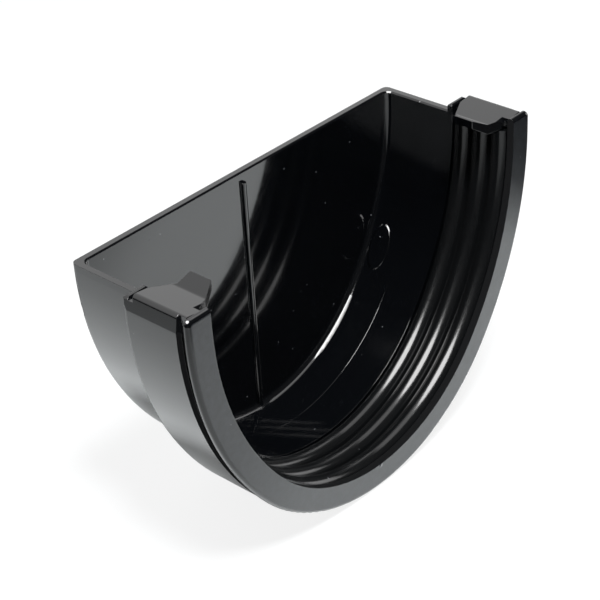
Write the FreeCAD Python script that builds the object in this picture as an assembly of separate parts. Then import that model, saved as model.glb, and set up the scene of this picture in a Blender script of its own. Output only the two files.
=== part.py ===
import FreeCAD, Part
import math
import os

# External stop end for a deep, oval-bottomed rain gutter, in millimetres.
# X runs across the gutter, Y from the socket's mouth (0) back to the end wall, Z up.
# Z = 0 is the level of the gutter's top edges, which is also the trough's top edge.

# The gutter that the cap closes: its outside section
gutter_width = 115.0
gutter_depth = 75.0
gutter_bottom_radius = 48.7
gutter_upright = 2.0

# Front rim, a flat flange round the mouth with a rounded outer edge
mouth_clearance = 0.5
rim_width = 7.3
rim_thickness = 2.1
rim_edge_radius = 1.3
rim_rear_chamfer = 0.6
rim_rise = 3.5
rim_outer_corner = 1.6

# Groove between the rim and the socket band, on the outside
groove_width = 1.6
groove_depth = 1.4

# Socket band and the shoulder that steps it down to the trough
socket_length = 22.6
band_setback = 0.3
band_wall = 2.8
band_front_chamfer = 0.9
band_rear_radius = 1.6
band_rear_facets = 3
shoulder_wall = 2.0

# Trough and end wall
cap_length = 45.8
trough_wall = 2.05
trough_clearance = 0.4
trough_draft = 0.3
end_wall = 2.0
end_outer_radius = 1.6
end_inner_radius = 2.0
top_edge_chamfer = 0.4

# Stiffening rib up the middle of the end wall's inside
rib_offset = -1.65
rib_width = 1.5
rib_height = 1.0
rib_round = 0.6
rib_top_drop = 3.0

# Snap clip at each top corner: a plate over the gutter's edge, hooked down behind it,
# with a lip that flares up
clip_top = 3.4
clip_thickness = 2.8
clip_slope_drop = 1.3
clip_side_inset = 0.8
clip_side_height = 4.7
clip_edge_radius = 1.2
clip_reach = 7.8
clip_fold_reach = 3.5
lip_rise = 2.2
lip_thickness = 1.8
lip_length = 6.94
lip_notch = 1.2
hook_depth = 1.1
clip_length = 15.9
clip_taper_start = 2.0
clip_bridge_start = 1.5
clip_slot = 1.6
clip_slot_end_wall = 0.7
clip_slot_radius = 0.6
clip_corner_radius = 0.8
lip_corner_radius = 0.5
fold_radius = 1.0

# Rounded upstand on the shoulder, behind each clip
upstand_rise = 2.0
upstand_thickness = 1.6
upstand_inner_corner = 0.8
upstand_outer_corner = 1.8
upstand_edge_radius = 0.7

# Ribbed rubber seal in the socket's recess
seal_clearance = 0.1
seal_rib_count = 3
seal_rib_height = 2.6
seal_rib_facets = 5
seal_valley = 0.7
seal_squeeze = 0.5
seal_end_drop = 0.6

# The oval: an upright run, a long side arc and a bottom arc, tangent to one another
half_width = gutter_width / 2
oval_depth = gutter_depth - gutter_upright
side_radius = (half_width ** 2 + oval_depth ** 2 - 2 * oval_depth * gutter_bottom_radius) / (
    2 * (half_width - gutter_bottom_radius))
side_sweep = math.degrees(math.atan2(oval_depth - gutter_bottom_radius, side_radius - half_width))
side_centre = FreeCAD.Vector(half_width - side_radius, 0, -gutter_upright)
bottom_centre = FreeCAD.Vector(0, 0, gutter_bottom_radius - gutter_depth)
across = FreeCAD.Vector(1, 0, 0)
along = FreeCAD.Vector(0, 1, 0)
upward = FreeCAD.Vector(0, 0, 1)
origin = FreeCAD.Vector(0, 0, 0)

# Offsets from the gutter's outside, and stations along Y
rim_offset = mouth_clearance + rim_width
band_offset = rim_offset - band_setback
recess_offset = band_offset - band_wall
groove_back = rim_thickness + groove_width
shoulder_front = socket_length - shoulder_wall
end_inside = cap_length - end_wall
draft_slope = math.tan(math.radians(trough_draft))
trough_front_offset = trough_clearance
trough_back_offset = trough_clearance - draft_slope * (cap_length - shoulder_front)
end_overlap = end_wall + end_inner_radius


def on_circle(centre, radius, angle):
    turn = math.radians(angle)
    return centre + FreeCAD.Vector(radius * math.cos(turn), 0, -radius * math.sin(turn))


def mirrored(shape):
    return shape.mirror(origin, across)


def at_section(offset, y):
    return FreeCAD.Vector(half_width + offset, y, -gutter_upright)


def in_front(x, z):
    return FreeCAD.Vector(x, 0, z)


def in_plan(x, y):
    return FreeCAD.Vector(x, y, 0)


def in_side(y, z):
    return FreeCAD.Vector(0, y, z)


# Face inside a closed outline of corners (u, v, radius), each rounded by its own radius
def rounded_face(corners, place):
    points = [place(u, v) for u, v, radius in corners]
    runs = []
    edges = []
    for i, (u, v, radius) in enumerate(corners):
        corner = points[i]
        back = (points[i - 1] - corner).normalize()
        ahead = (points[(i + 1) % len(points)] - corner).normalize()
        half_angle = back.getAngle(ahead) / 2
        if radius == 0:
            runs.append((corner, corner))
            continue
        reach = radius / math.tan(half_angle)
        start = corner + back * reach
        end = corner + ahead * reach
        inward = (back + ahead).normalize()
        middle = corner + inward * (radius / math.sin(half_angle) - radius)
        edges.append(Part.Arc(start, middle, end).toShape())
        runs.append((start, end))
    for i, (start, end) in enumerate(runs):
        edges.append(Part.LineSegment(end, runs[(i + 1) % len(runs)][0]).toShape())
    return Part.Face(Part.Wire(Part.__sortEdges__(edges)))


# Face inside the oval, offset from the gutter's outside and closed across its top
def oval_face(offset, top):
    side = side_radius + offset
    half = half_width + offset
    right_top = FreeCAD.Vector(half, 0, top)
    right_wide = FreeCAD.Vector(half, 0, -gutter_upright)
    right_middle = on_circle(side_centre, side, side_sweep / 2)
    right_join = on_circle(side_centre, side, side_sweep)
    lowest = FreeCAD.Vector(0, 0, -gutter_depth - offset)
    left_join = FreeCAD.Vector(-right_join.x, 0, right_join.z)
    left_middle = FreeCAD.Vector(-right_middle.x, 0, right_middle.z)
    left_wide = FreeCAD.Vector(-half, 0, -gutter_upright)
    left_top = FreeCAD.Vector(-half, 0, top)
    edges = [
        Part.LineSegment(right_top, right_wide).toShape(),
        Part.Arc(right_wide, right_middle, right_join).toShape(),
        Part.Arc(right_join, lowest, left_join).toShape(),
        Part.Arc(left_join, left_middle, left_wide).toShape(),
        Part.LineSegment(left_wide, left_top).toShape(),
        Part.LineSegment(left_top, right_top).toShape(),
    ]
    return Part.Face(Part.Wire(edges))


# Solid swept by a section face round the whole oval, up to a level on both sides
def swept_round_oval(section, top):
    upright = section.extrude(upward * (top + gutter_upright))
    side = section.revolve(side_centre, along, side_sweep)
    turned = section.copy()
    turned.rotate(side_centre, along, side_sweep)
    bottom = turned.revolve(bottom_centre, along, 180 - 2 * side_sweep)
    return bottom.fuse([upright, side, mirrored(upright), mirrored(side)]).removeSplitter()


def edges_where(shape, test):
    return [edge for edge in shape.Edges if test(edge)]


def lies_at(edge, axis, value):
    return all(abs(getattr(vertex.Point, axis) - value) < 1e-6 for vertex in edge.Vertexes)


# Rounded rear corner of the band, drawn in a few straight facets
def rear_corner(reach):
    middle = reach - band_rear_radius
    start = socket_length - band_rear_radius
    turns = [math.pi / 2 * i / band_rear_facets for i in range(band_rear_facets + 1)]
    return [(middle + band_rear_radius * math.cos(turn), start + band_rear_radius * math.sin(turn), 0)
            for turn in turns]


# Wall section of the moulding: neck under the groove, band, shoulder, trough and end corner
def wall_section():
    neck_offset = band_offset - groove_depth
    return rounded_face([
        (recess_offset, rim_thickness, 0),
        (neck_offset, rim_thickness, 0),
        (neck_offset, groove_back, 0),
        (band_offset - band_front_chamfer, groove_back, 0),
        (band_offset, groove_back + band_front_chamfer, 0),
        *rear_corner(band_offset),
        (trough_front_offset + trough_wall, socket_length, 0),
        (trough_back_offset + trough_wall, cap_length, end_outer_radius),
        (trough_back_offset - end_overlap, cap_length, 0),
        (trough_back_offset - end_overlap, end_inside, 0),
        (trough_back_offset, end_inside, end_inner_radius),
        (trough_front_offset, shoulder_front, 0),
        (recess_offset, shoulder_front, 0),
    ], at_section)


def end_plate():
    face = oval_face(trough_back_offset - end_inner_radius, 0)
    face.translate(along * end_inside)
    return face.extrude(along * end_wall)


# Band, shoulder, trough and end wall in one, with a chamfer along the inner top edge behind the socket
def cup():
    whole = swept_round_oval(wall_section(), 0).fuse(end_plate()).removeSplitter()
    inner_side = half_width + trough_front_offset
    inner_edges = edges_where(whole, lambda edge: lies_at(edge, "z", 0)
                              and edge.BoundBox.YMax < end_inside + 1e-3
                              and max(edge.BoundBox.XMax, -edge.BoundBox.XMin) < inner_side + 1e-3)
    return whole.makeChamfer(top_edge_chamfer, inner_edges)


# Flat rim: an oval flange, its top corners rounded, then its outer edges rounded in front and chamfered behind
def front_rim():
    outer = oval_face(rim_offset, rim_rise)
    mouth = oval_face(mouth_clearance, rim_rise + rim_width)
    rim = outer.cut(mouth).extrude(along * rim_thickness)
    outer_side = half_width + rim_offset
    top_corners = edges_where(rim, lambda edge: lies_at(edge, "z", rim_rise)
                              and abs(abs(edge.CenterOfMass.x) - outer_side) < 1e-6)
    rim = rim.makeFillet(rim_outer_corner, top_corners)
    lowest = -gutter_depth - rim_offset
    front_edge = edges_where(rim, lambda edge: lies_at(edge, "y", 0) and edge.BoundBox.ZMin < lowest + 1e-3)
    rim = rim.makeFillet(rim_edge_radius, front_edge)
    rear_edge = edges_where(rim, lambda edge: lies_at(edge, "y", rim_thickness)
                            and edge.BoundBox.ZMin < lowest + 1e-3)
    return rim.makeChamfer(rim_rear_chamfer, rear_edge)


def end_rib():
    front = end_inside - rib_height
    half = rib_width / 2
    section = rounded_face([
        (rib_offset - half, cap_length - end_wall / 2, 0),
        (rib_offset + half, cap_length - end_wall / 2, 0),
        (rib_offset + half, front, rib_round),
        (rib_offset - half, front, rib_round),
    ], in_plan)
    section.translate(upward * (-gutter_depth - trough_clearance - trough_wall / 2))
    return section.extrude(upward * (gutter_depth + trough_clearance + trough_wall / 2 - rib_top_drop))


# Places that the right-hand clip's section and plan share
band_side = half_width + band_offset
recess_side = half_width + recess_offset
top_side = band_side - clip_side_inset
lip_side = half_width - clip_reach
fold_side = half_width - clip_fold_reach
fold_top = clip_top - clip_slope_drop
lip_run = fold_side - lip_side
lip_spare = clip_thickness
lip_top = fold_top + lip_rise * (lip_run + lip_spare) / lip_run


# Bent section of the right-hand clip along X and Z, drawn out over the length of the cap
def clip_bar():
    section = rounded_face([
        (recess_side, clip_top - clip_side_height, 0),
        (band_side, clip_top - clip_side_height, 0),
        (top_side, clip_top, clip_edge_radius),
        (fold_side, fold_top, fold_radius),
        (lip_side - lip_spare, lip_top, 0),
        (lip_side - lip_spare, lip_top - lip_thickness, 0),
        (fold_side, fold_top - lip_thickness - hook_depth, fold_radius),
        (recess_side, clip_top - clip_thickness, 0),
    ], in_front)
    return section.extrude(along * cap_length)


# Clip on the right-hand side: the bar trimmed to a tapered plan, lower at its end behind the slot
def clip():
    clip_back = shoulder_front - clip_slot
    plate_front = min(clip_back - clip_length, groove_back)
    lip_front = clip_back - (clip_length + lip_length) / 2
    lip_back = lip_front + lip_length
    taper_run = clip_reach + clip_taper_start
    front_taper = (lip_front - plate_front) / taper_run
    back_taper = (clip_back - lip_back) / taper_run
    fold_back = lip_back + back_taper * lip_run
    shoulder_side = half_width + clip_taper_start
    front_side = shoulder_side - (groove_back - plate_front) / front_taper
    slot_side = top_side - clip_slot_end_wall
    far_side = band_side + clip_thickness
    plan = rounded_face([
        (far_side, groove_back, 0),
        (front_side, groove_back, 0),
        (lip_side, lip_front, lip_corner_radius),
        (lip_side, lip_back, lip_corner_radius),
        (fold_side - lip_notch / 2, fold_back - lip_notch, 0),
        (fold_side, fold_back, 0),
        (shoulder_side, clip_back, clip_corner_radius),
        (slot_side, clip_back, clip_slot_radius),
        (slot_side, shoulder_front, 0),
        (far_side, shoulder_front, 0),
    ], in_plan)
    plan.translate(upward * -gutter_upright)
    trimmed = clip_bar().common(plan.extrude(upward * (gutter_upright + lip_top)))
    step_side = slot_side - clip_slot_radius
    step = Part.makeBox(far_side - step_side, shoulder_front - clip_back, clip_top)
    step.translate(FreeCAD.Vector(step_side, clip_back, upstand_rise - upstand_edge_radius))
    trimmed = trimmed.cut(step)
    front_edges = edges_where(trimmed, lambda edge: lies_at(edge, "y", groove_back)
                              and edge.CenterOfMass.x > slot_side - band_wall
                              and edge.BoundBox.ZMax > fold_top
                              and edge.CenterOfMass.z > clip_top - clip_thickness)
    return trimmed.makeChamfer(band_front_chamfer, front_edges)


# Bridge over the groove's top end, from the rim to the right-hand clip's plate
def clip_bridge():
    start = half_width + clip_bridge_start
    end = band_side - groove_depth
    room = Part.makeBox(end - start, groove_width + band_front_chamfer, clip_thickness + clip_slope_drop)
    room.translate(FreeCAD.Vector(start, rim_thickness, 0))
    return clip_bar().common(room)


# Upstand on the shoulder behind the right-hand clip, its crest and corners rounded
def upstand():
    inner_side = half_width + trough_front_offset
    outer_side = half_width + band_offset
    shoulder_back = shoulder_front + upstand_thickness
    face = rounded_face([
        (inner_side, -gutter_upright, 0),
        (outer_side, -gutter_upright, 0),
        (outer_side, upstand_rise, upstand_outer_corner),
        (inner_side, upstand_rise, upstand_inner_corner),
    ], in_front)
    crest = rounded_face([
        (shoulder_front, -gutter_upright, 0),
        (shoulder_back, -gutter_upright, 0),
        (shoulder_back, upstand_rise, upstand_edge_radius),
        (shoulder_front, upstand_rise, upstand_edge_radius),
    ], in_side)
    plan = rounded_face([(inner_side, 0, 0), (outer_side, 0, 0), *rear_corner(outer_side),
                         (inner_side, socket_length, 0)], in_plan)
    plan.translate(upward * -gutter_upright)
    block = plan.extrude(upward * (gutter_upright + upstand_rise)).common(crest.extrude(across * outer_side))
    return face.extrude(along * shoulder_back).common(block)


# Wedge outside the right-hand clip's sloping side, over the length of the band
def side_wedge():
    foot = clip_top - clip_side_height
    reach = 2 * clip_side_height
    wedge = Part.Face(Part.makePolygon([
        in_front(band_side, foot),
        in_front(band_side - clip_side_inset * reach / clip_side_height, foot + reach),
        in_front(band_side + reach, foot + reach),
        in_front(band_side + reach, foot),
        in_front(band_side, foot),
    ]))
    start = rim_thickness + groove_width / 2
    wedge.translate(along * start)
    return wedge.extrude(along * (socket_length + groove_width - start))


# Room in the band's top, above the foot of the clip's sloping side, that the right-hand clip fills
def clip_seat():
    foot = clip_top - clip_side_height
    seat = Part.makeBox(band_wall + clip_thickness, shoulder_front - groove_back, clip_side_height)
    seat.translate(FreeCAD.Vector(half_width + recess_offset, groove_back, foot))
    return seat


def cap_body():
    right_clip = clip().fuse(clip_bridge())
    right_upstand = upstand()
    wedge = side_wedge()
    seat = clip_seat()
    body = cup().fuse([front_rim(), end_rib(), right_upstand, mirrored(right_upstand)])
    body = body.cut([wedge, mirrored(wedge), seat, mirrored(seat)])
    return body.fuse([right_clip, mirrored(right_clip)]).removeSplitter()


# Rubber strip: a flat back against the recess, and towards the gutter ribs whose section is a rounded
# arch drawn in a few straight facets
def socket_seal():
    back = recess_offset - seal_clearance
    front_y = rim_thickness + seal_clearance
    rear_y = shoulder_front - seal_clearance
    valley = seal_rib_height - seal_squeeze
    rib_width = (rear_y - front_y + seal_valley) / seal_rib_count - seal_valley
    arch_top = math.cos(math.pi / 2 / seal_rib_facets)
    points = [at_section(back, rear_y), at_section(back, front_y)]
    for i in range(seal_rib_count):
        middle = front_y + rib_width / 2 + (rib_width + seal_valley) * i
        for j in range(seal_rib_facets + 1):
            turn = math.pi * j / seal_rib_facets
            height = seal_rib_height * math.sin(turn) / arch_top
            points.append(at_section(valley - height, middle - rib_width / 2 * math.cos(turn)))
    section = Part.Face(Part.makePolygon(points + points[:1]))
    return swept_round_oval(section, -seal_end_drop)


os.makedirs("parts", exist_ok=True)
for name, shape in (("cap_body", cap_body()), ("socket_seal", socket_seal())):
    shape.exportStep("parts/" + name + ".step")
    print(name, "solids", len(shape.Solids), "valid", shape.isValid(), "volume", round(shape.Volume, 1))
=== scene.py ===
import math

import bpy
import bmesh
from mathutils import Matrix, Vector


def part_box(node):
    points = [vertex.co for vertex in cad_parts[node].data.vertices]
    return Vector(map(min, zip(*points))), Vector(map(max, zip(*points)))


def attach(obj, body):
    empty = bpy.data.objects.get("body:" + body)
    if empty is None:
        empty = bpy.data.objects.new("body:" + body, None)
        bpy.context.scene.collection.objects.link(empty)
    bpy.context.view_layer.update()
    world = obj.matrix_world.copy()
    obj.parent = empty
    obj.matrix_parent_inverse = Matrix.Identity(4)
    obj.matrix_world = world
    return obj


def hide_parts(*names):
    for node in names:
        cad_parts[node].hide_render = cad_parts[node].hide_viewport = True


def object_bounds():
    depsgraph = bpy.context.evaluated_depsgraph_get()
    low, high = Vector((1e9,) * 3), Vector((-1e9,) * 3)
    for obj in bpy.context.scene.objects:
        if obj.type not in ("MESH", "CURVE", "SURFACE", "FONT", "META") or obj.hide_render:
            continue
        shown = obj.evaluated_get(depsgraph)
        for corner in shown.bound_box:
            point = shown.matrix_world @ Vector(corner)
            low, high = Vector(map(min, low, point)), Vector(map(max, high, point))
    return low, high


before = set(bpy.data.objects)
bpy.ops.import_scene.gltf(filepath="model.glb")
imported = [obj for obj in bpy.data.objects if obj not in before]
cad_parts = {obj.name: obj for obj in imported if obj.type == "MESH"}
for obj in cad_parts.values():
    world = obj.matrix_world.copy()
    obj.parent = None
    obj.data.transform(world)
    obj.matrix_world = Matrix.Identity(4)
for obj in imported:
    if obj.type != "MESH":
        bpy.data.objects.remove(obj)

cad_low, cad_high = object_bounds()
mm = 0.001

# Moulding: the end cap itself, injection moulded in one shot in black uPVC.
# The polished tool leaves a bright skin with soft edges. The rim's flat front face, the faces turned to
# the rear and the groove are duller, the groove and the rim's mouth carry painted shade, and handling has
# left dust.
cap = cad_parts["cap_body"]


def linear(hex_colour):
    parts = [int(hex_colour[i:i + 2], 16) / 255 for i in (1, 3, 5)]
    return [c / 12.92 if c <= 0.04045 else ((c + 0.055) / 1.055) ** 2.4 for c in parts] + [1.0]


def set_inputs(tree, node, inputs):
    for name, value in inputs.items():
        if isinstance(value, bpy.types.NodeSocket):
            tree.links.new(value, node.inputs[name])
        else:
            node.inputs[name].default_value = value


def add_node(tree, kind, settings=None, inputs=None):
    node = tree.nodes.new(kind)
    for name, value in (settings or {}).items():
        setattr(node, name, value)
    set_inputs(tree, node, inputs or {})
    return node


def new_material(name):
    material = bpy.data.materials.new(name)
    material.use_nodes = True
    return material, material.node_tree, material.node_tree.nodes["Principled BSDF"]


def per_metre(size_mm):
    return 1 / (size_mm * mm)


upvc_black = "#050608"
upvc_satin = "#121418"
upvc_bloom = "#212428"
upvc_ior = 1.53
upvc_coat = 0.5
coat_rough = 0.03
coat_ior = 1.5
gloss_rough = (0.05, 0.09)
satin_rough = (0.28, 0.36)
rear_rough = 0.6
groove_rough = 0.95
groove_shade_metal = 0.75
edge_round = 0.16 * mm
edge_samples = 6
skin_wave_mm = 22.0
skin_wave_rise = 0.2 * mm
skin_wave_share = 0.03
haze_patch_mm = 9.0
haze_range = (0.3, 0.7)
bloom_patch_mm = 2.2
bloom_range = (0.4, 0.7)
dust_grey = "#6a6d70"
dust_spacing_mm = 5.0
dust_solid = 0.025
dust_edge = 0.05
dust_choice = 0.6
oval_middle = Vector((0, 0, -20.0)) * mm
inside_reach = -1.0 * mm
satin_depth = 0.05 * mm
rear_turn = (0.05, 0.4)
groove_middle = 4.2 * mm
groove_reach = 0.45 * mm
groove_top = -1.0 * mm
rim_depth = 2.15 * mm
ejector_middle = Vector((46.7, 39.0, -44.3)) * mm
ejector_stretch = Vector((per_metre(6.75), per_metre(3.2), per_metre(6.75)))
ejector_ring = 0.06
ejector_rise = 0.3 * mm
witness_start = 31.92 * mm
witness_end = 32.08 * mm
witness_rise = 0.025 * mm
gate_middle = Vector((-0.9, 0.0, -76.0)) * mm
gate_radius = 0.75 * mm
gate_rise = 0.35 * mm


# One cell in a few of a fine mosaic holds a speck; its size is a share of the spacing.
def dust_specks(tree, place):
    specks = add_node(tree, "ShaderNodeTexVoronoi", inputs={
        "Vector": place, "Scale": per_metre(dust_spacing_mm), "Randomness": 1.0})
    speck = add_node(tree, "ShaderNodeMapRange", inputs={
        "Value": specks.outputs["Distance"], "From Min": dust_solid, "From Max": dust_edge,
        "To Min": 1.0, "To Max": 0.0})
    chosen = add_node(tree, "ShaderNodeMath", {"operation": "GREATER_THAN"}, {
        0: specks.outputs["Color"], 1: dust_choice})
    return add_node(tree, "ShaderNodeMath", {"operation": "MULTIPLY"}, {
        0: speck.outputs["Result"], 1: chosen.outputs[0]}).outputs[0]


upvc, tree, shader = new_material("moulded_black_upvc")
place = add_node(tree, "ShaderNodeTexCoord").outputs["Object"]
facing = add_node(tree, "ShaderNodeNewGeometry").outputs["Normal"]
at = add_node(tree, "ShaderNodeSeparateXYZ", inputs={"Vector": place})
turned = add_node(tree, "ShaderNodeSeparateXYZ", inputs={"Vector": facing})

# Masks: the oval's inside, the flat front face and what is turned to the rear.
from_middle = add_node(tree, "ShaderNodeVectorMath", {"operation": "SUBTRACT"}, {0: place, 1: oval_middle})
across = add_node(tree, "ShaderNodeVectorMath", {"operation": "MULTIPLY"}, {
    0: from_middle.outputs["Vector"], 1: (1, 0, 1)})
outward = add_node(tree, "ShaderNodeVectorMath", {"operation": "DOT_PRODUCT"}, {
    0: across.outputs["Vector"], 1: facing})
inside = add_node(tree, "ShaderNodeMath", {"operation": "LESS_THAN"}, {
    0: outward.outputs["Value"], 1: inside_reach}).outputs[0]
front_face = add_node(tree, "ShaderNodeMath", {"operation": "LESS_THAN"}, {
    0: at.outputs["Y"], 1: satin_depth}).outputs[0]
rear = add_node(tree, "ShaderNodeMapRange", {"interpolation_type": "SMOOTHSTEP"}, {
    "Value": turned.outputs["Y"], "From Min": rear_turn[0], "From Max": rear_turn[1]}).outputs["Result"]

# Painted shade: the groove behind the rim, below the clips, and the rim's inner edge are made black and
# dull in place of the shade that falls there.
by_groove = add_node(tree, "ShaderNodeMath", {"operation": "COMPARE"}, {
    0: at.outputs["Y"], 1: groove_middle, 2: groove_reach})
below_clips = add_node(tree, "ShaderNodeMath", {"operation": "LESS_THAN"}, {
    0: at.outputs["Z"], 1: groove_top})
groove_run = add_node(tree, "ShaderNodeMath", {"operation": "MULTIPLY"}, {
    0: by_groove.outputs[0], 1: below_clips.outputs[0]})
outside = add_node(tree, "ShaderNodeMath", {"operation": "SUBTRACT"}, {0: 1.0, 1: inside})
groove_edge = add_node(tree, "ShaderNodeMath", {"operation": "MULTIPLY"}, {
    0: groove_run.outputs[0], 1: outside.outputs[0]})
in_rim = add_node(tree, "ShaderNodeMath", {"operation": "LESS_THAN"}, {0: at.outputs["Y"], 1: rim_depth})
rim_mouth = add_node(tree, "ShaderNodeMath", {"operation": "MULTIPLY"}, {0: in_rim.outputs[0], 1: inside})
groove = add_node(tree, "ShaderNodeMath", {"operation": "MAXIMUM"}, {
    0: groove_edge.outputs[0], 1: rim_mouth.outputs[0]}).outputs[0]

# Marks of the tool: an ejector's oval and a fine step inside the trough, a gate's stub on the rim,
# and long shallow waves all over. They follow one another on softened edges.
from_ejector = add_node(tree, "ShaderNodeVectorMath", {"operation": "SUBTRACT"}, {
    0: place, 1: ejector_middle})
ejector_oval = add_node(tree, "ShaderNodeVectorMath", {"operation": "MULTIPLY"}, {
    0: from_ejector.outputs["Vector"], 1: ejector_stretch})
ejector_reach = add_node(tree, "ShaderNodeVectorMath", {"operation": "LENGTH"}, {
    0: ejector_oval.outputs["Vector"]})
ejector_step = add_node(tree, "ShaderNodeMapRange", {"interpolation_type": "SMOOTHSTEP"}, {
    "Value": ejector_reach.outputs["Value"], "From Min": 1 - ejector_ring, "From Max": 1 + ejector_ring,
    "To Min": 1.0, "To Max": 0.0})
ejector_height = add_node(tree, "ShaderNodeMath", {"operation": "MULTIPLY"}, {
    0: ejector_step.outputs["Result"], 1: inside})
witness_step = add_node(tree, "ShaderNodeMapRange", {"interpolation_type": "SMOOTHSTEP"}, {
    "Value": at.outputs["Y"], "From Min": witness_start, "From Max": witness_end})
witness_height = add_node(tree, "ShaderNodeMath", {"operation": "MULTIPLY"}, {
    0: witness_step.outputs["Result"], 1: inside})
from_gate = add_node(tree, "ShaderNodeVectorMath", {"operation": "DISTANCE"}, {0: place, 1: gate_middle})
gate_height = add_node(tree, "ShaderNodeMapRange", {"interpolation_type": "SMOOTHSTEP"}, {
    "Value": from_gate.outputs["Value"], "From Min": 0.0, "From Max": gate_radius,
    "To Min": 1.0, "To Max": 0.0})
waves = add_node(tree, "ShaderNodeTexNoise", inputs={
    "Vector": place, "Scale": per_metre(skin_wave_mm), "Detail": 1.0, "Roughness": 0.4})
skin = add_node(tree, "ShaderNodeBevel", {"samples": edge_samples}, {
    "Radius": edge_round}).outputs["Normal"]
for height, rise, strength in (
        (ejector_height.outputs[0], ejector_rise, 1.0),
        (witness_height.outputs[0], witness_rise, 1.0),
        (gate_height.outputs["Result"], gate_rise, 1.0),
        (waves.outputs["Fac"], skin_wave_rise, skin_wave_share)):
    skin = add_node(tree, "ShaderNodeBump", inputs={
        "Strength": strength, "Distance": rise, "Height": height, "Normal": skin}).outputs["Normal"]

# Gloss: hazy patches vary the bright skin and the satin front alike; rear faces and the painted shade stay
# even.
haze = add_node(tree, "ShaderNodeTexNoise", inputs={
    "Vector": place, "Scale": per_metre(haze_patch_mm), "Detail": 4.0, "Roughness": 0.6})
gloss, satin = [add_node(tree, "ShaderNodeMapRange", inputs={
    "Value": haze.outputs["Fac"], "From Min": haze_range[0], "From Max": haze_range[1],
    "To Min": smooth, "To Max": dull}).outputs["Result"] for smooth, dull in (gloss_rough, satin_rough)]
roughness = gloss
for mask, rough in ((front_face, satin), (rear, rear_rough), (groove, groove_rough)):
    roughness = add_node(tree, "ShaderNodeMix", {"data_type": "FLOAT"}, {
        "Factor": mask, "A": roughness, "B": rough}).outputs["Result"]
uncoated = add_node(tree, "ShaderNodeMath", {"operation": "MAXIMUM"}, {0: groove, 1: rear})
coat = add_node(tree, "ShaderNodeMath", {"operation": "MULTIPLY_ADD"}, {
    0: uncoated.outputs[0], 1: -upvc_coat, 2: upvc_coat})
# Painted shade: metal on the near-black base turns the reflections in the groove and the rim's mouth dark.
painted_shade = add_node(tree, "ShaderNodeMath", {"operation": "MULTIPLY"}, {0: groove, 1: groove_shade_metal})

# Colour: near black, with a faint grey bloom on the front face and dust over all.
bloom = add_node(tree, "ShaderNodeTexNoise", inputs={
    "Vector": place, "Scale": per_metre(bloom_patch_mm), "Detail": 5.0, "Roughness": 0.65})
bloom_share = add_node(tree, "ShaderNodeMapRange", inputs={
    "Value": bloom.outputs["Fac"], "From Min": bloom_range[0], "From Max": bloom_range[1]})
satin_colour = add_node(tree, "ShaderNodeMix", {"data_type": "RGBA"}, {
    "Factor": bloom_share.outputs["Result"], "A": linear(upvc_satin), "B": linear(upvc_bloom)})
body_colour = add_node(tree, "ShaderNodeMix", {"data_type": "RGBA"}, {
    "Factor": front_face, "A": linear(upvc_black), "B": satin_colour.outputs["Result"]})
colour = add_node(tree, "ShaderNodeMix", {"data_type": "RGBA"}, {
    "Factor": dust_specks(tree, place), "A": body_colour.outputs["Result"], "B": linear(dust_grey)})
# The metallic input carries the painted shade in the groove and the rim's mouth.
set_inputs(tree, shader, {
    "Base Color": colour.outputs["Result"], "Metallic": painted_shade.outputs[0], "Roughness": roughness,
    "IOR": upvc_ior, "Normal": skin, "Coat Weight": coat.outputs[0], "Coat Roughness": coat_rough,
    "Coat IOR": coat_ior, "Coat Normal": skin})
cap.data.materials.clear()
cap.data.materials.append(upvc)

# Seal: a soft black rubber strip with three round ribs, pushed into the socket's recess.
# It is extruded in one length, bent round the oval and cut square just under the clips.
# Its satin grain is drawn coarser than the real one, so that it shows.
gutter_half = 57.5 * mm
gutter_depth = 75.0 * mm
gutter_bottom_radius = 48.7 * mm
gutter_upright = 2.0 * mm
rib_count = 3
rib_height = 2.6 * mm
rib_valley = 0.7 * mm
rib_squeeze = 0.5 * mm
rib_steps = 16
side_steps = 40
bottom_steps = 64
sharp_angle = math.radians(40)
rubber_black = "#0c0d0e"
rubber_ior = 1.52
rubber_rough = (0.17, 0.21)
rubber_grain_mm = 0.8
rubber_grain_range = (0.3, 0.7)
rubber_grain_rise = 0.02 * mm
rubber_grain_share = 0.02

seal_low, seal_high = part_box("socket_seal")
oval_drop = gutter_depth - gutter_upright
side_radius = (gutter_half ** 2 + oval_drop ** 2 - 2 * oval_drop * gutter_bottom_radius) / (
    2 * (gutter_half - gutter_bottom_radius))
side_sweep = math.atan2(oval_drop - gutter_bottom_radius, side_radius - gutter_half)
right_centre = Vector((gutter_half - side_radius, 0, -gutter_upright))
left_centre = Vector((side_radius - gutter_half, 0, -gutter_upright))
bottom_centre = Vector((0, 0, gutter_bottom_radius - gutter_depth))
rib_width = (seal_high.y - seal_low.y + rib_valley) / rib_count - rib_valley
rib_radius = (rib_width ** 2 / 4 + rib_height ** 2) / (2 * rib_height)
rib_arc = 2 * math.asin(rib_width / 2 / rib_radius)
crest = gutter_half - rib_squeeze

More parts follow.
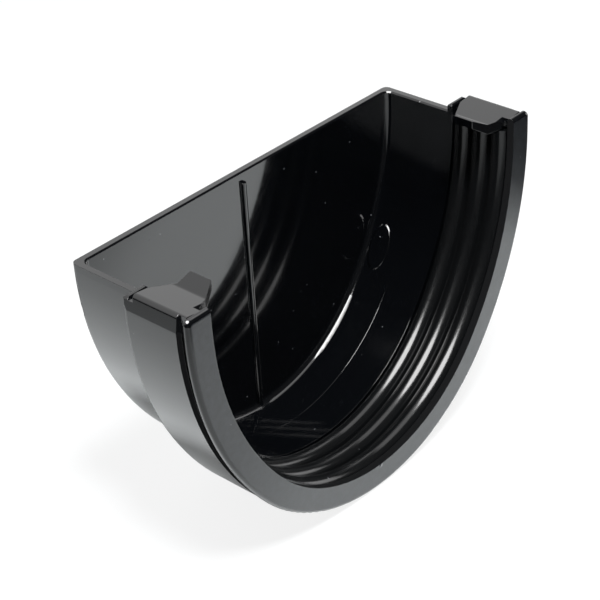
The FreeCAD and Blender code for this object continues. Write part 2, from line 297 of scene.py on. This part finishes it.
seal_mesh = bmesh.new()
last = seal_mesh.verts.new((seal_high.x, seal_low.y, seal_high.z))
heel = seal_mesh.verts.new((seal_high.x, seal_high.y, seal_high.z))
seal_mesh.edges.new((last, heel))
for rib in range(rib_count):
    middle = seal_low.y + rib_width / 2 + (rib_width + rib_valley) * rib
    foot = seal_mesh.verts.new((crest + rib_height, middle - rib_width / 2, seal_high.z))
    seal_mesh.edges.new((last, foot))
    arc = bmesh.ops.spin(seal_mesh, geom=[foot], cent=(crest + rib_radius, middle, seal_high.z),
                         axis=(0, 0, 1), angle=-rib_arc, steps=rib_steps)
    last = next(item for item in arc["geom_last"] if isinstance(item, bmesh.types.BMVert))
seal_mesh.edges.new((last, heel))
near_end = seal_mesh.edges[:]
swept = near_end
upright_run = seal_high.z + gutter_upright
for centre, turn, steps, rise in (
        (right_centre, 0, 1, -upright_run),
        (right_centre, side_sweep, side_steps, 0),
        (bottom_centre, math.pi - 2 * side_sweep, bottom_steps, 0),
        (left_centre, side_sweep, side_steps, 0),
        (left_centre, 0, 1, upright_run)):
    swept = bmesh.ops.spin(seal_mesh, geom=swept, cent=centre, axis=(0, 1, 0), angle=turn,
                           dvec=(0, 0, rise), steps=steps)["geom_last"]
far_end = [item for item in swept if isinstance(item, bmesh.types.BMEdge)]
bmesh.ops.contextual_create(seal_mesh, geom=near_end)
bmesh.ops.contextual_create(seal_mesh, geom=far_end)
bmesh.ops.recalc_face_normals(seal_mesh, faces=seal_mesh.faces)
seal_data = bpy.data.meshes.new("ribbed_seal")
seal_mesh.to_mesh(seal_data)
seal_mesh.free()
seal_data.shade_smooth()
seal_data.set_sharp_from_angle(angle=sharp_angle)
seal = bpy.data.objects.new("ribbed_seal", seal_data)
bpy.context.scene.collection.objects.link(seal)

rubber, tree, shader = new_material("extruded_black_rubber")
place = add_node(tree, "ShaderNodeTexCoord").outputs["Object"]
grain = add_node(tree, "ShaderNodeTexNoise", inputs={
    "Vector": place, "Scale": per_metre(rubber_grain_mm), "Detail": 3.0})
roughness = add_node(tree, "ShaderNodeMapRange", inputs={
    "Value": grain.outputs["Fac"], "From Min": rubber_grain_range[0], "From Max": rubber_grain_range[1],
    "To Min": rubber_rough[0], "To Max": rubber_rough[1]})
skin = add_node(tree, "ShaderNodeBump", inputs={
    "Strength": rubber_grain_share, "Distance": rubber_grain_rise, "Height": grain.outputs["Fac"]})
colour = add_node(tree, "ShaderNodeMix", {"data_type": "RGBA"}, {
    "Factor": dust_specks(tree, place), "A": linear(rubber_black), "B": linear(dust_grey)})
set_inputs(tree, shader, {
    "Base Color": colour.outputs["Result"], "Roughness": roughness.outputs["Result"],
    "IOR": rubber_ior, "Normal": skin.outputs["Normal"]})
seal_data.materials.append(rubber)
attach(seal, "root")
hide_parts("socket_seal")

# Floor: a bench with a sheet of white card on it, under the cap, that carries its soft shadow.
# To the camera the whole bench is plain white; mirrored in the cap, the card ends in soft edges
# and carries a painted shade in front of the mouth.
floor_white = "#eff3f4"
bench_grey = "#2a2a2a"
floor_half = 3.0
card_rough = 0.9
seen_white = 0.85
mirrored_white = 0.1
# Each ramp on the card: the way it is measured, where it is dark and bright, and what light is left.
# The first three are the card's edges against the grey bench; the last is a painted shade in front of the
# mouth.
card_edges = (
    ((1, 0, 0), 0.165, 0.12, 0.0),
    ((0, 1, 0), -0.15, -0.1, 0.0),
    ((1, 0, 0), -0.42, 0.04, 0.0),
    ((0.5, math.sqrt(0.75), 0), -0.048, -0.018, 0.6))

floor_mesh = bmesh.new()
bmesh.ops.create_grid(floor_mesh, x_segments=1, y_segments=1, size=floor_half)
bmesh.ops.translate(floor_mesh, verts=floor_mesh.verts, vec=(0, 0, cad_low.z))
floor_data = bpy.data.meshes.new("floor")
floor_mesh.to_mesh(floor_data)
floor_mesh.free()
floor = bpy.data.objects.new("floor", floor_data)
bpy.context.scene.collection.objects.link(floor)

card, tree, shader = new_material("white_card")
place = add_node(tree, "ShaderNodeTexCoord").outputs["Object"]
card_and_painted_shade = 1.0
# Painted shade: the last ramp darkens the card's colour and glow in front of the mouth.
for way, dark_at, bright_at, light_left in card_edges:
    along = add_node(tree, "ShaderNodeVectorMath", {"operation": "DOT_PRODUCT"}, {0: place, 1: way})
    ramp = add_node(tree, "ShaderNodeMapRange", {"interpolation_type": "SMOOTHSTEP"}, {
        "Value": along.outputs["Value"], "From Min": dark_at, "From Max": bright_at, "To Min": light_left})
    card_and_painted_shade = add_node(tree, "ShaderNodeMath", {"operation": "MULTIPLY"}, {
        0: card_and_painted_shade, 1: ramp.outputs["Result"]}).outputs[0]
ray = add_node(tree, "ShaderNodeLightPath")
shown_white = add_node(tree, "ShaderNodeMath", {"operation": "MAXIMUM"}, {
    0: card_and_painted_shade, 1: ray.outputs["Is Camera Ray"]})
sheet_colour = add_node(tree, "ShaderNodeMix", {"data_type": "RGBA"}, {
    "Factor": shown_white.outputs[0], "A": linear(bench_grey), "B": linear(floor_white)})
set_inputs(tree, shader, {
    "Base Color": sheet_colour.outputs["Result"], "Roughness": card_rough, "Specular IOR Level": 0.0})
glow = add_node(tree, "ShaderNodeEmission", inputs={"Color": (1, 1, 1, 1), "Strength": 1.0})
mirrored_share = add_node(tree, "ShaderNodeMath", {"operation": "MULTIPLY"}, {
    0: ray.outputs["Is Glossy Ray"], 1: mirrored_white})
card_share = add_node(tree, "ShaderNodeMath", {"operation": "MULTIPLY"}, {
    0: mirrored_share.outputs[0], 1: card_and_painted_shade})
seen_ray = add_node(tree, "ShaderNodeMath", {"operation": "MAXIMUM"}, {
    0: ray.outputs["Is Camera Ray"], 1: ray.outputs["Is Transmission Ray"]})
share = add_node(tree, "ShaderNodeMath", {"operation": "MULTIPLY_ADD"}, {
    0: seen_ray.outputs[0], 1: seen_white, 2: card_share.outputs[0]})
mixed = add_node(tree, "ShaderNodeMixShader", inputs={
    0: share.outputs[0], 1: shader.outputs[0], 2: glow.outputs[0]})
set_inputs(tree, tree.nodes["Material Output"], {"Surface": mixed.outputs[0]})
floor.data.materials.append(card)

# Studio: a white tent that is open and dark on the camera's side, with four soft lamps.
# The key lamp makes the streaks on the seal and the rib lamp its long sheen. The top lamp gives the
# shadow, and the right lamp lights the right side and the seal's lowest ribs.
tent_bright = 1.1
tent_dark = 0.06
tent_foot = 0.35
tent_back = (0.05, 0.5)
tent_height = (-0.05, 0.4)

world = bpy.data.worlds.new("white_tent")
bpy.context.scene.world = world
world.use_nodes = True
tree = world.node_tree
toward = add_node(tree, "ShaderNodeTexCoord").outputs["Generated"]
heading = add_node(tree, "ShaderNodeSeparateXYZ", inputs={"Vector": toward})
behind = add_node(tree, "ShaderNodeMapRange", {"interpolation_type": "SMOOTHSTEP"}, {
    "Value": heading.outputs["Y"], "From Min": tent_back[0], "From Max": tent_back[1],
    "To Min": tent_dark, "To Max": tent_bright})
height = add_node(tree, "ShaderNodeMapRange", {"interpolation_type": "SMOOTHSTEP"}, {
    "Value": heading.outputs["Z"], "From Min": tent_height[0], "From Max": tent_height[1],
    "To Min": tent_foot})
tent = add_node(tree, "ShaderNodeMath", {"operation": "MULTIPLY"}, {
    0: behind.outputs["Result"], 1: height.outputs["Result"]})
ray = add_node(tree, "ShaderNodeLightPath")
seen_ray = add_node(tree, "ShaderNodeMath", {"operation": "MAXIMUM"}, {
    0: ray.outputs["Is Camera Ray"], 1: ray.outputs["Is Transmission Ray"]})
level = add_node(tree, "ShaderNodeMix", {"data_type": "FLOAT"}, {
    "Factor": seen_ray.outputs[0], "A": tent.outputs[0], "B": 1.0})
set_inputs(tree, tree.nodes["Background"], {"Color": (1, 1, 1, 1), "Strength": level.outputs["Result"]})


def soft_lamp(name, direction, distance, shape, sides, power):
    data = bpy.data.lights.new(name, "AREA")
    data.shape = shape
    data.size, data.size_y = sides
    data.energy = power
    lamp = bpy.data.objects.new(name, data)
    bpy.context.scene.collection.objects.link(lamp)
    aim = Vector(direction).normalized()
    lamp.location = aim * distance
    lamp.rotation_mode = "QUATERNION"
    lamp.rotation_quaternion = aim.to_track_quat("Z", "Y")
    return lamp


key_lamp = soft_lamp("key_lamp", direction=(-0.5, -0.05, 0.86), distance=0.9,
                     shape="ELLIPSE", sides=(0.85, 0.8), power=28.0)
key_lamp.visible_diffuse = False
top_lamp = soft_lamp("top_lamp", direction=(-0.19, -0.33, 0.92), distance=0.9,
                     shape="RECTANGLE", sides=(0.2, 0.2), power=15.0)
top_lamp.visible_glossy = False
soft_lamp("right_lamp", direction=(0.93, -0.28, 0.1), distance=0.8,
          shape="RECTANGLE", sides=(0.3, 0.3), power=0.7)
rib_lamp = soft_lamp("rib_lamp", direction=(0.2, 0.0, 0.98), distance=0.9,
                     shape="RECTANGLE", sides=(0.55, 0.8), power=2.2)
rib_lamp.visible_diffuse = False

# Camera: above and to the left of the mouth, with a long lens.
# Its place, turn and shift were fitted to the cap's edges.
camera_azimuth = math.radians(-46.273)
camera_elevation = math.radians(31.695)
camera_roll = math.radians(-3.563)
camera_distance = 468.53 * mm
camera_target = Vector((0, 28.0, -26.94)) * mm

camera_data = bpy.data.cameras.new("camera")
camera_data.sensor_width = 36.0
camera_data.lens = 106.4
camera_data.shift_x = 0.0061
camera_data.shift_y = -0.0399
camera_data.clip_start = 0.01
camera = bpy.data.objects.new("camera", camera_data)
bpy.context.scene.collection.objects.link(camera)
back = Vector((math.sin(camera_azimuth) * math.cos(camera_elevation),
               -math.cos(camera_azimuth) * math.cos(camera_elevation),
               math.sin(camera_elevation)))
camera.rotation_mode = "QUATERNION"
camera.location = camera_target + back * camera_distance
level_turn = (-back).to_track_quat("-Z", "Y")
camera.rotation_quaternion = Matrix.Rotation(camera_roll, 3, back).to_quaternion() @ level_turn
bpy.context.scene.camera = camera

bpy.context.scene.view_settings.view_transform = "Standard"
